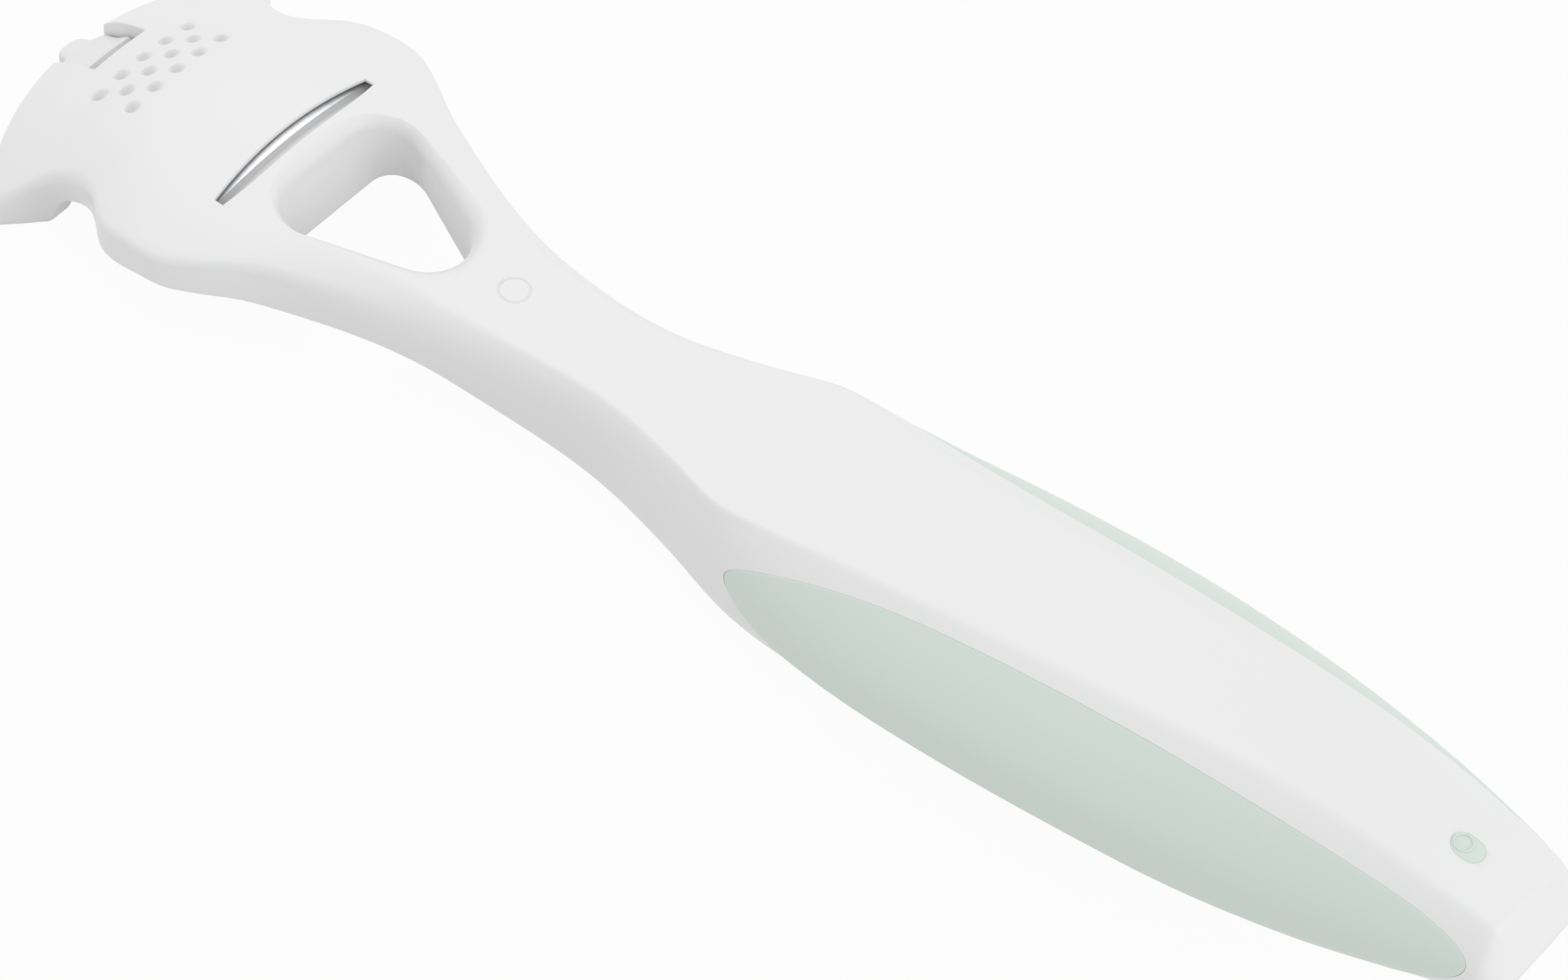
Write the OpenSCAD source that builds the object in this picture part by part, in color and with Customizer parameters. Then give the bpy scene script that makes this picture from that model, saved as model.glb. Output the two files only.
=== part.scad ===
// Callus shaver, lying on its back with the cutting face up.
// X runs from the nose of the head to the end of the handle, Y is across, Z is up from the table.

/* [Head] */
// Radius of the front edge in plan
nose_r = 26; // [24:1:30]
// Thickness of the plate over the blade
plate_t = 1; // [0.8:0.1:1.2]
// Thickness of the head's side skirt
skirt_t = 2.4; // [2:0.1:2.8]

/* [Thumb notch] */
// Width of the notch in the front edge
notch_w = 6.8; // [6:0.1:8]
// How far the notch runs in from the front edge
notch_depth = 5.9; // [5.2:0.1:6.4]
// Gap on each side of the tongue in the notch
tongue_gap = 0.3; // [0.2:0.05:0.5]

/* [Slot and blade] */
// Front lip of the slot at the middle
slot_x = 25; // [24.6:0.1:25.4]
// Width of the slot along the tool at its middle
slot_w = 2.3; // [1.9:0.1:2.4]
// Half length of the slot across the head
slot_half = 9.7; // [9:0.1:10.4]
// Gap between each end of the blade and the skirt
blade_end_gap = 0.65; // [0.5:0.05:1.6]
// Width of the blade along the tool
blade_w = 8; // [7.6:0.1:8.2]
// Thickness of the blade
blade_t = 0.2; // [0.1:0.05:0.25]
// How far the blade's edge shows behind the front lip
blade_show = 1.1; // [0.6:0.1:1.3]

/* [Dimples] */
// Distance between dimples across the head
dimple_pitch = 2.85; // [2.6:0.05:3]
// Distance between the rows of dimples
dimple_row = 2; // [1.8:0.1:2.2]
// Radius of the rim of a dimple
dimple_r = 0.76; // [0.6:0.02:0.85]

/* [Hole in the neck] */
// Front edge of the hole
hole_x = 29.5; // [29:0.1:30]
// Half width of the hole at its widest
hole_half = 7.4; // [7:0.1:7.8]
// Rounding of the hole's two front corners
corner_r = 3.5; // [2.6:0.1:4]
// Rounding of the hole's tip
tip_r = 4; // [3:0.1:4.4]
// Length of the hole along the tool
hole_l = 16.1; // [15.6:0.1:17]
// Rounding of the hole's upper rim
rim_r = 1.5; // [0.8:0.1:1.8]

/* [Grip] */
// Length of the soft side grips
grip_l = 71.2; // [68:0.2:72]
// Depth of the pockets that hold the grip
grip_t = 1.8; // [1.5:0.1:2]
// Rise of the grip above the handle at its middle
grip_rise = 0.5; // [0.2:0.1:0.7]
// Radius of the channel that joins the two sides
runner_r = 1.2; // [1:0.1:1.4]

/* [Hidden] */
$fn = 96;

// Outline and profiles of the moulding, as place along X and value, joined by smooth curves.
nose_x = -0.4;
width_knots = [[-0.4, 18.6], [6.2, 18.3], [8, 16.8], [10.2, 14.6], [13, 13.8], [15.4, 14.3],
    [18.2, 16.1], [21, 16.8], [25.5, 16.9], [28.5, 15.6], [34.5, 12.1], [45, 8.3], [55, 6.2],
    [65, 5.75], [75, 7.9], [85, 11.4], [95, 12.35], [107, 12.6], [119, 12.3], [131, 11.4],
    [141, 9.9], [149, 8.25], [156, 6.5], [157.3, 5.7], [158, 4.6]];
top_knots = [[-0.4, 4.9], [2.6, 7.0], [8, 9.0], [12, 10.4], [17, 11.5], [25.5, 12.2],
    [31, 12.2], [44, 11.35], [52, 10.9], [61, 11.4], [73, 12.85], [80, 13.75], [95, 15.7],
    [110, 18.1], [120, 19.45], [130, 20.5], [138, 21], [144, 20.9], [150, 20.2], [155.4, 19.3],
    [156.3, 18.6], [157.1, 16.6], [158, 13.6]];
bottom_knots = [[-0.4, 0], [8, 0], [10.9, 0], [11.35, 3.2], [13.3, 4.2], [15, 4.7], [17, 4.4], [20.5, 4.6],
    [24, 5.4], [31, 5.3], [34.5, 4.4],
    [45, 2.3], [55, 0.7], [65, 0], [77, 0], [85, 0.4], [95, 1.5], [107, 3.3], [119, 4.6],
    [131, 5.3], [141, 6.6], [149, 8.7], [156, 10.7], [157.3, 11.5], [158, 12.6]];
// Half width of the flat top face as a share of the half width of the handle.
crease_knots = [[30, 0.75], [45, 0.72], [65, 0.75], [73, 0.8], [80, 0.84], [86, 0.72],
    [95, 0.6], [110, 0.52], [130, 0.46], [141, 0.49], [150, 0.58], [158, 0.67]];

function knot_at(x, k, i = 0) = i >= len(k) - 2 || x < k[i + 1][0] ? i : knot_at(x, k, i + 1);
function knot_slope(k, i) =
    let (a = max(0, i - 1), b = min(len(k) - 1, i + 1)) (k[b][1] - k[a][1]) / (k[b][0] - k[a][0]);
function smooth_at(x, k) =
    let (i = knot_at(x, k), step = k[i + 1][0] - k[i][0], t = (x - k[i][0]) / step,
        a = knot_slope(k, i) * step, b = knot_slope(k, i + 1) * step)
    (2 * t ^ 3 - 3 * t ^ 2 + 1) * k[i][1] + (t ^ 3 - 2 * t ^ 2 + t) * a
        + (3 * t ^ 2 - 2 * t ^ 3) * k[i + 1][1] + (t ^ 3 - t ^ 2) * b;
function ease(x, from, to) = let (t = min(1, max(0, (x - from) / (to - from)))) t * t * (3 - 2 * t);

function half_width(x) = min(sqrt(2 * nose_r * max(x - nose_x, 0.01)), smooth_at(x, width_knots));
function top_z(x) = smooth_at(x, top_knots);
function bottom_z(x) = max(0, smooth_at(x, bottom_knots));
function arch_at(x) = 30 + 18 * ease(x, 12, 24);
function skin_z(x, y) = top_z(x) - y ^ 2 / (2 * arch_at(x));
low_rim = 0.9;

// The side grip in side view is an oval about a sloping middle line, a little fuller to the rear.
grip_x = 119.7;
grip_z = 12.6;
grip_slope = 5.3;
grip_up = 5.8;
grip_down = 6.6;
grip_full = 0.08;
function grip_u(x, z) = (x - grip_x) * cos(grip_slope) + (z - grip_z) * sin(grip_slope);
function grip_v(x, z) = (z - grip_z) * cos(grip_slope) - (x - grip_x) * sin(grip_slope);
function grip_rise_at(x, z) =
    let (u = 2 * grip_u(x, z) / grip_l, v = grip_v(x, z), tall = (v > 0 ? grip_up : grip_down) * (1 + grip_full * u))
    max(0, 1 - u ^ 2 - (v / tall) ^ 2);

// Half rings run from the middle of the top round the side to the middle of the underside.
ring_points = 15;
function head_half(x) =
    let (w = half_width(x), zt = top_z(x), zb = bottom_z(x), r = min(1, w / 3), k = 1 / (2 * arch_at(x)),
        ze = zt - k * w ^ 2, foot = w - 0.07 * (ze - zb))
    [for (f = [0, 0.18, 0.36, 0.54, 0.7, 0.84]) [f * w, zt - k * (f * w) ^ 2],
        [w - r, zt - k * (w - r) ^ 2],
        [w - r * 0.3, ze - r * 0.25], [w, ze - r],
        [foot, zb + r * 0.4], [foot - r * 0.4, zb],
        [w * 0.75, zb], [w * 0.5, zb], [w * 0.25, zb], [0, zb]];
function handle_half(x, inset) =
    let (w = half_width(x) - inset, zt = top_z(x) - inset, zb = bottom_z(x) + inset, zw = (zb + zt) / 2,
        c = w * smooth_at(x, crease_knots), e = 3 - 1.2 * ease(x, 70, 92), f = 2 / 2.6,
        tall = (zt - zw) / (1 - (c / w) ^ e) ^ (1 / e))
    [[0, zt], [c * 0.5, zt], [c * 0.86, zt - 0.04], [c + 0.15, zt - 0.16],
        for (i = [1:5]) let (y = c + (w - c) * sin(i * 18)) [y, zw + tall * max(0, 1 - (y / w) ^ e) ^ (1 / e)],
        for (i = [1:6]) let (a = i * 15) [w * cos(a) ^ f, zw - (zw - zb) * sin(a) ^ f]];
function half_ring(x, inset, rise) =
    let (t = ease(x, 26, 50), b = handle_half(x, inset), a = t < 1 ? head_half(x) : b)
    [for (i = [0:ring_points - 1])
            let (p = a[i] * (1 - t) + b[i] * t, out = rise == 0 ? 0 : rise * grip_rise_at(x, p[1]))
                [p[0] + (i > 0 && i < ring_points - 1 ? out : 0), p[1]]];
function ring(x, inset, rise) =
    let (h = half_ring(x, inset, rise))
    [for (i = [0:ring_points - 1]) [x, h[i][0], h[i][1]],
        for (i = [ring_points - 2:-1:1]) [x, -h[i][0], h[i][1]]];

module loft(stations, inset = 0, rise = 0) {
    n = 2 * ring_points - 2;
    last = (len(stations) - 1) * n;
    points = [for (x = stations) each ring(x, inset, rise)];
    faces = [for (s = [0:len(stations) - 2], i = [0:n - 1])
            let (a = s * n + i, b = s * n + (i + 1) % n) each [[a, b, b + n], [a, b + n, a + n]],
        [for (i = [n - 1:-1:0]) i],
        [for (i = [0:n - 1]) last + i]];
    polyhedron(points = points, faces = faces);
}

nose_stations = [for (y = [notch_w / 2 - 0.4, 4.2, 5.4, 7, 9, 11, 13, 15, 17]) nose_x + y ^ 2 / (2 * nose_r)];
end_stations = [155.6, 156, 156.4, 156.8, 157.2, 157.6, 157.85, 158];
handle_stations = [for (x = [80.6:3:155]) x];
all_stations = concat(nose_stations, [5.6, 6.1, 6.6, 7.2, 7.9, 8.6, 9.4], [10.45, 10.9, 11.35], [for (x = [12:1.2:30]) x], [for (x = [31.4:2.4:79]) x],
    handle_stations, end_stations);

// A round bar whose top line runs from one point of the middle plane to another.
module arch_bar(r, from, to) {
    slope = atan2(to[1] - from[1], to[0] - from[0]);
    translate([from[0], 0, from[1]]) rotate([0, -slope, 0]) translate([0, 0, -r])
        rotate([0, 90, 0]) cylinder(r = r, h = norm(to - from));
}

// Underside of the plate: the pocket's ceiling is two arches that meet behind the dimples.
front_arch_r = 31;
seat_arch_r = 42;
seat_gap = 0.06;
bend_x = 17;
pocket_x = [4.4, 27.4];
function ceiling_z(x) = top_z(x) - plate_t;
front_ceiling = [[2.4, ceiling_z(2.4)], [bend_x + 0.4, ceiling_z(bend_x) + 0.1]];
seat_slope = (ceiling_z(25.5) - ceiling_z(bend_x)) / (25.5 - bend_x);
function seat_at(x) = [x, ceiling_z(bend_x) + seat_slope * (x - bend_x)];

module under_plate(down, rear_x) {
    arch_bar(front_arch_r - down, front_ceiling[0] - [0, down], front_ceiling[1] - [0, down]);
    arch_bar(seat_arch_r - down, seat_at(bend_x + min(down, 0.3)) - [0, down], seat_at(rear_x + 0.6) - [0, down]);
}
module inside_head(inset, from, to, z = -1) {
    xs = [for (i = [0:14]) from + (to - from) * i / 14];
    translate([0, 0, z]) linear_extrude(20)
        polygon(concat([for (x = xs) [x, inset - half_width(x)]],
            [for (i = [14:-1:0]) [xs[i], half_width(xs[i]) - inset]]));
}
module pocket() {
    intersection() {
        under_plate(0, pocket_x[1]);
        inside_head(skirt_t, pocket_x[0], pocket_x[1]);
    }
}

module notch() {
    translate([nose_x - 2, -notch_w / 2, -1]) cube([notch_depth + 2, notch_w, 20]);
}

// Both lips of the slot are shallow arcs that close towards its ends.
module slot() {
    front = [for (i = [-6:6]) [slot_x + (i / 6) ^ 2, slot_half * i / 6]];
    rear = [for (i = [6:-1:-6]) [slot_x + slot_w - 0.35 * (i / 6) ^ 4, slot_half * i / 6]];
    translate([0, 0, 6]) linear_extrude(20) polygon(concat(front, rear));
}

module dimple() {
    deep = dimple_r * 0.6;
    hull() for (a = [15, 50, 90]) translate([0, 0, -deep * cos(a)]) cylinder(r = dimple_r * sin(a), h = 1, $fn = 14);
}
module dimples() {
    for (row = [-1:1], i = [0:(row == 0 ? 3 : 4)]) {
        x = 10.35 + row * dimple_row;
        y = (i - (row == 0 ? 1.5 : 2)) * dimple_pitch;
        translate([x, y, skin_z(x, y)]) dimple();
    }
}

// Rounded triangle through the neck. Towards the underside (low = 1) its front wall leans back,
// its corners get tighter and its tip gets rounder.
function hole_outline(low, grow) =
    let (r = corner_r - 0.6 * low, t = tip_r + 0.8 * low,
        front = [hole_x + 1.8 * low + r, hole_half + 0.2 * low - r],
        tip = [hole_x + hole_l + 0.2 * low - t, 0],
        side = atan2(front[1], tip[0] - front[0]) - asin((t - r) / norm(tip - front)))
    [for (i = [0:6]) let (a = 180 + i * (90 + side) / 6) [front[0], -front[1]] + (r + grow) * [cos(a), sin(a)],
        for (i = [1:7]) let (a = (90 - side) * (i / 4 - 1)) tip + (t + grow) * [cos(a), sin(a)],
        for (i = [0:6]) let (a = 90 - side + i * (90 + side) / 6) front + (r + grow) * [cos(a), sin(a)]];
function hole_at(z, low, grow) = [for (p = hole_outline(low, grow)) [p[0], p[1], z]];
function hole_low(dz, grow) = [for (p = hole_outline(1, grow)) [p[0], p[1], bottom_z(p[0]) + dz]];
function hole_high(dz, grow) = [for (p = hole_outline(0, grow)) [p[0], p[1], top_z(p[0]) + dz]];

// Both rims are quarter rounds that run a little past the faces they cut.
module neck_hole() {
    levels = concat([hole_at(-1, 1, low_rim + 0.4), hole_low(-0.3, low_rim + 0.4)],
        [for (a = [20, 50, 90]) hole_low(low_rim * (1 - cos(a)), low_rim * (1 - sin(a)))],
        [for (a = [90, 65, 40, 20]) hole_high(rim_r * (cos(a) - 1), rim_r * (1 - sin(a)))],
        [hole_high(0.25, rim_r + 0.7), hole_at(16, 0, rim_r + 0.7)]);
    n = len(levels[0]);
    last = (len(levels) - 1) * n;
    polyhedron(points = [for (l = levels) each l],
        faces = [for (s = [0:len(levels) - 2], i = [0:n - 1])
                let (a = s * n + i, b = s * n + (i + 1) % n) each [[a, a + n, b + n], [a, b + n, b]],
            [for (i = [0:n - 1]) i],
            [for (i = [n - 1:-1:0]) last + i]]);
}

// Ring left by a mould pin on the neck.
module pin_ring() {
    translate([51.7, 0, top_z(51.7) - 0.12]) difference() {
        cylinder(r = 1.75, h = 2, $fn = 36);
        translate([0, 0, -1]) cylinder(r = 1.45, h = 4, $fn = 36);
    }
}

module grip_lens() {
    translate([grip_x, 0, grip_z]) rotate([90, -grip_slope, 0]) translate([0, 0, -20]) linear_extrude(40)
        polygon([for (a = [0:7.5:352.5])
                [grip_l / 2 * cos(a), (a < 180 ? grip_up : grip_down) * sin(a) * (1 + grip_full * cos(a))]]);
}
module core() {
    loft([for (x = [82:5:157]) x], grip_t);
}
// The plug that shows on the top face, and the channels that join it to both sides.
plug_x = grip_x + grip_l / 2 - 5.3;
runner_z = 15.8;
module runner(top) {
    translate([plug_x, 7, runner_z]) rotate([90, 0, 0]) cylinder(r = runner_r, h = 14);
    for (x = [-0.3, 0.3]) translate([plug_x + x, 0, runner_z]) cylinder(r = 1.15, h = top);
    translate([plug_x - 0.3, -1.15, runner_z]) cube([0.6, 2.3, top]);
}

module body() {
    color("white") translate([-mid_x, 0, 0]) difference() {
        loft(all_stations);
        pocket();
        notch();
        slot();
        dimples();
        neck_hole();
        pin_ring();
        difference() {
            grip_lens();
            core();
        }
        runner(10);
    }
}

module grip() {
    color("#c3d3cb") translate([-mid_x, 0, 0]) union() {
        difference() {
            intersection() {
                loft([for (x = [80.6:3:157]) x], 0, grip_rise);
                grip_lens();
            }
            core();
        }
        intersection() {
            runner(10);
            loft(handle_stations);
        }
    }
}

blade_x = slot_x + blade_show - blade_w;
blade_half = half_width(blade_x) - skirt_t - blade_end_gap;
module blade() {
    color("silver") translate([-mid_x, 0, 0]) difference() {
        intersection() {
            translate([0, 0, -seat_gap]) arch_bar(seat_arch_r, seat_at(blade_x), seat_at(blade_x + blade_w));
            translate([0, -blade_half, 0]) cube([40, 2 * blade_half, 20]);
        }
        translate([0, 0, -blade_t - seat_gap])
            arch_bar(seat_arch_r - blade_t, seat_at(blade_x - 1), seat_at(blade_x + blade_w + 1));
    }
}

// The plate under the blade. Its front part lies against the ceiling and runs out as a tongue
// through the notch, with a cross ridge for the nail and a raised round nose.
holder_t = 1.5;
holder_gap = 0.25;
tongue_half = notch_w / 2 - tongue_gap;
tongue_nose = [-0.33, 1.82];
tongue_x = -2.12;
// The origin lies under the middle of the whole length, from the tongue to the handle's end.
mid_x = (158 + tongue_x) / 2;
function ceiling_at(x) = lookup(x, [front_ceiling[0], front_ceiling[1], seat_at(bend_x + 1), seat_at(30)]);
holder_line = [[-2.3, 1.6], [-1.7, 2.7], [-0.9, 3.6], [0.1, 3.95], [0.6, 4.1], [2.2, 5.15], [3.45, 6.15],
    [3.8, 6.15], [4.4, 5.5], [5.2, 5.95], [6.6, ceiling_at(6.6) - 0.15], [8, ceiling_at(8) - seat_gap],
    [blade_x - 1.6, ceiling_at(blade_x - 1.6) - seat_gap],
    [blade_x - 0.6, ceiling_at(blade_x - 0.6) - blade_t - 2.6 * seat_gap],
    [28, ceiling_at(28) - blade_t - 2.6 * seat_gap]];
function holder_half(x) =
    x > 4.6 ? half_width(x) - skirt_t - holder_gap
    : x > tongue_nose[0] ? tongue_nose[1] + (tongue_half - tongue_nose[1]) * ease(x, tongue_nose[0], 0.5)
    : sqrt(tongue_nose[1] ^ 2 - (x - tongue_nose[0]) ^ 2);
function holder_drop(x, y) =
    let (r = front_arch_r + (seat_arch_r - front_arch_r) * ease(x, bend_x + 0.2, bend_x + 0.7))
    1.04 * (r - sqrt(r ^ 2 - y ^ 2));
function holder_ring(x) =
    let (w = holder_half(x), z = lookup(x, holder_line), half = [for (i = [-4:4]) [i * w / 4, holder_drop(x, i * w / 4)]])
    [for (i = [0:8]) [x, half[i][0], z - half[i][1]],
        for (i = [8:-1:0]) [x, half[i][0], z - half[i][1] - holder_t]];

module blade_holder() {
    xs = concat([tongue_x, -2, -1.7, -1.3, -0.9, -0.33, -0.1, 0.1, 0.3, 0.6, 2.2, 3.45, 3.8, 4.4, 4.58, 4.62, 5.2, 6],
        [for (x = [6.6:1.1:15.5]) x], [blade_x - 1.6], [bend_x + 0.2, bend_x + 0.7], [18.8, 20.3, 22, 23.7, 25.4, pocket_x[1] - holder_gap]);
    n = 18;
    last = (len(xs) - 1) * n;
    color("whitesmoke") translate([-mid_x, 0, 0]) polyhedron(points = [for (x = xs) each holder_ring(x)],
        faces = [for (s = [0:len(xs) - 2], i = [0:n - 1])
                let (a = s * n + i, b = s * n + (i + 1) % n) each [[a, b, b + n], [a, b + n, a + n]],
            [for (i = [n - 1:-1:0]) i],
            [for (i = [0:n - 1]) last + i]]);
}

body();
grip();
blade();
blade_holder();
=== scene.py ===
"""Callus shaver in its looks: a moulded body, soft side grips, a bent blade and the plate that holds it."""

import logging
import math
from dataclasses import dataclass
from enum import Enum
from typing import Any, Callable, Sequence

import bmesh
import bpy
from mathutils import Matrix, Vector


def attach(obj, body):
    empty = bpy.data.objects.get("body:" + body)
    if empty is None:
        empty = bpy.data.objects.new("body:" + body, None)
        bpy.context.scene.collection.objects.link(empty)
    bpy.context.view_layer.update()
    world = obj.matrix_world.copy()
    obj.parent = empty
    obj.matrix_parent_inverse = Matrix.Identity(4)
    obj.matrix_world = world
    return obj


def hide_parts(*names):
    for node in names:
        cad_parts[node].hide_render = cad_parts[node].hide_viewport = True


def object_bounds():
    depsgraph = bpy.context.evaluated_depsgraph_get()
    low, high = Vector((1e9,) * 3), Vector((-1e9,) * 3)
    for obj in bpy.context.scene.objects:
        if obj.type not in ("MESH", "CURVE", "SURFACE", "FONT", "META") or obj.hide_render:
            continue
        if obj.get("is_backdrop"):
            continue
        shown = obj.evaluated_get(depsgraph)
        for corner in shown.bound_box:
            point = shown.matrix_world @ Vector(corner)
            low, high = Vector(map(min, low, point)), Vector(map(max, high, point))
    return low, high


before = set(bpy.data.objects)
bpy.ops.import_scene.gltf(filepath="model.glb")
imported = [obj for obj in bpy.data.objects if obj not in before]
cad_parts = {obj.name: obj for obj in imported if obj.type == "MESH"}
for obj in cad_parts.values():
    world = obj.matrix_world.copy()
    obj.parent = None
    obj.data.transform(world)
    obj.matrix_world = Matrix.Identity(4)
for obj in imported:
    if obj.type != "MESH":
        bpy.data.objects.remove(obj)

LOG = logging.getLogger("shaver")
Flat = tuple[float, float]
Ring = list[Vector]
MM = 0.001
WELD = 2e-6  # distance in metres under which the corners that a cut leaves are one
NARROW = 0.02  # 4 areas of a narrow face, as a share of its perimeter's square
SLANT = Vector((1, 0.618, 0.382))  # way along which a spun ring is numbered, so that every run numbers it the same

# Places and sizes are in millimetres from here on, and places along the tool are measured from the nose.
MID_X = 77.94  # where the row frame has its origin
NOSE_X = -0.4  # front wall of the head in the middle plane
TIP_X = 158.0  # end of the handle
NOSE_R = 26.0  # radius of the front wall in plan
EDGE_R, REAR_EDGE_R = 1.0, 0.55  # radius of the head's upper edges, in front and behind
FOOT_R = 2.0  # radius of the front wall's lower edge
ARCH_R, REAR_ARCH_R = 30, 48  # radius of the head's arch, in front and behind
WALL_LEAN = 0.07  # how far the head's wall leans in for each millimetre down
PLATE_T = 1.0  # thickness of the head's plate
LIP_X, LIP_T = 25.5, 0.36  # place and thickness of the slot's front lip
SKIRT_T = 2.4  # thickness of the head's wall
PLATE_X, BEND_X = 2.4, 17.0  # where the plate's underside starts, and where it turns up to the lip
PLATE_ARCH_R, LIP_ARCH_R = 31.0, 46.0  # radius of the plate's underside before the bend and behind it
NECK_POWER, GRIP_POWER, BELLY_POWER = 3, 1.8, 2.6  # exponents of the side's curves over and under the waist


def point(x: float, y: float, z: float) -> Vector:
    """A place in metres in the row frame, from millimetres measured from the nose."""
    return Vector(((x - MID_X) * MM, y * MM, z * MM))


def sine(degrees: float) -> float:
    """Sine of an angle in degrees."""
    return math.sin(math.radians(degrees))


def cosine(degrees: float) -> float:
    """Cosine of an angle in degrees."""
    return math.cos(math.radians(degrees))


def mix(a: float, b: float, share: float) -> float:
    """The value between two numbers, a at share 0 and b at share 1."""
    return a + (b - a) * share


def ease(x: float, start: float, end: float) -> float:
    """A soft step from 0 at start to 1 at end."""
    t = min(1.0, max(0.0, (x - start) / (end - start)))
    return t * t * (3 - 2 * t)


def between(s: float, values: Sequence[float]) -> float:
    """The value at place s of an evenly numbered row of values, straight between neighbours."""
    i = max(0, min(len(values) - 2, int(s)))
    return mix(values[i], values[i + 1], s - i)


def soft_min(a: float, b: float, width: float) -> float:
    """The smaller of two numbers, with a rounded corner where they meet."""
    near = max(width - abs(a - b), 0.0) / width
    return min(a, b) - near * near * width / 4


def round_drop(inset: float, radius: float) -> float:
    """How far a rounded edge has dropped at a distance in from the wall."""
    short = min(radius, max(0.0, radius - inset))
    return radius - math.sqrt(radius * radius - short * short)


def steps(start: float, end: float, pitch: float) -> list[float]:
    """Even places from start up to just before end."""
    count = max(1, round((end - start) / pitch))
    return [start + (end - start) * i / count for i in range(count)]


def runs(*starts: Flat) -> list[float]:
    """Even places over runs that each have a start and a pitch, up to and with the start of the last."""
    places = [x for (start, pitch), (end, _) in zip(starts, starts[1:]) for x in steps(start, end, pitch)]
    return places + [starts[-1][0]]


@dataclass(frozen=True)
class SmoothLine:
    """A smooth curve through places along the tool and its values there."""

    knots: tuple[Flat, ...]

    def slope(self, i: int) -> float:
        """Slope at one knot, from its two neighbours."""
        a, b = max(0, i - 1), min(len(self.knots) - 1, i + 1)
        return (self.knots[b][1] - self.knots[a][1]) / (self.knots[b][0] - self.knots[a][0])

    def at(self, x: float) -> float:
        """Value of the curve at a place.

        Args:
            x: Place along the tool in millimetres.

        Returns:
            The value there, in the unit of the knots.
        """
        i = 0
        while i < len(self.knots) - 2 and x >= self.knots[i + 1][0]:
            i += 1
        (x0, v0), (x1, v1) = self.knots[i], self.knots[i + 1]
        step = x1 - x0
        t = max(0.0, (x - x0) / step)
        a, b = self.slope(i) * step, self.slope(i + 1) * step
        return ((2 * t**3 - 3 * t**2 + 1) * v0 + (t**3 - 2 * t**2 + t) * a
                + (3 * t**2 - 2 * t**3) * v1 + (t**3 - t**2) * b)


# Half width of the outline in plan
WIDTH = SmoothLine((
    (-0.4, 18.6), (6.2, 18.3), (8, 16.8), (10.2, 14.6), (13, 13.8), (15.4, 14.35), (18.2, 16.35), (21, 16.95),
    (25.5, 16.9), (28.5, 15.6), (34.5, 12.1), (45, 8.35), (55, 6.6), (65, 6.3), (75, 8.35), (85, 11.35),
    (95, 12.35), (107, 12.6), (119, 12.3), (131, 11.4), (141, 9.9), (149, 8.25), (156, 6.5), (157.3, 5.7),
    (158, 4.6)))
# Height of the upper face in the middle plane
TOP = SmoothLine((
    (-0.4, 4.9), (2.6, 7.0), (8, 9.0), (12, 10.4), (17, 11.5), (25.5, 12.2), (31, 12.2), (44, 11.35),
    (52, 10.9), (61, 11.4), (73, 12.85), (80, 13.75), (95, 15.7), (110, 18.1), (120, 19.45), (130, 20.5),
    (138, 20.985), (144, 20.885), (150, 20.2), (155.4, 19.3), (156.3, 18.6), (157.1, 16.6), (158, 13.6)))
# Height of the lower edges
BOTTOM = SmoothLine((
    (-0.4, 0), (8, 0), (9.8, 0), (10.3, 0.55), (11.15, 2.9), (11.6, 3.45), (13.3, 4.2), (15, 4.7), (17, 4.4),
    (20.5, 4.6), (24, 5.4), (31, 5.3), (34.5, 4.4), (45, 2.3), (55, 0.7), (65, 0), (77, 0), (85, 0.4),
    (95, 1.5), (107, 3.3), (119, 4.6), (131, 5.3), (141, 6.6), (149, 8.7), (156, 10.7), (157.3, 11.5),
    (158, 12.6)))
# Place of the crease beside the upper face, as a share of the half width
CREASE = SmoothLine((
    (30, 0.75), (45, 0.72), (65, 0.75), (73, 0.8), (80, 0.84), (86, 0.72), (95, 0.6), (110, 0.52),
    (130, 0.46), (141, 0.49), (150, 0.58), (158, 0.67)))


def nose_at(y: float) -> float:
    """Place of the front wall at a distance from the middle plane."""
    return NOSE_X + y * y / (2 * NOSE_R)


def foot_z(x: float) -> float:
    """Height of the moulding's underside, which nowhere passes through the table."""
    return max(0.0, BOTTOM.at(x))


def skin_z(x: float, y: float) -> float:
    """Height of the head's arched top face."""
    x = max(x, NOSE_X)
    return TOP.at(x) - y * y / (2 * mix(ARCH_R, REAR_ARCH_R, ease(x, 12, 24)))


def ceiling_line(x: float) -> Flat:
    """The pocket's arched ceiling, which rises evenly to a bend and on to the slot's thin lip.

    Args:
        x: Place along the tool.

    Returns:
        Height in the middle plane and radius of the arch.
    """
    bend_z = TOP.at(BEND_X) - PLATE_T
    if x < BEND_X + 0.2:
        share = (x - PLATE_X) / (BEND_X + 0.4 - PLATE_X)
        return mix(TOP.at(PLATE_X) - PLATE_T, bend_z + 0.1, share), PLATE_ARCH_R
    return mix(bend_z, TOP.at(LIP_X) - LIP_T, (x - BEND_X) / (LIP_X - BEND_X)), LIP_ARCH_R


def ceiling_z(x: float, y: float) -> float:
    """Height of the pocket's ceiling."""
    mid, r = ceiling_line(x)
    return mid - (r - math.sqrt(r * r - y * y))


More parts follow.
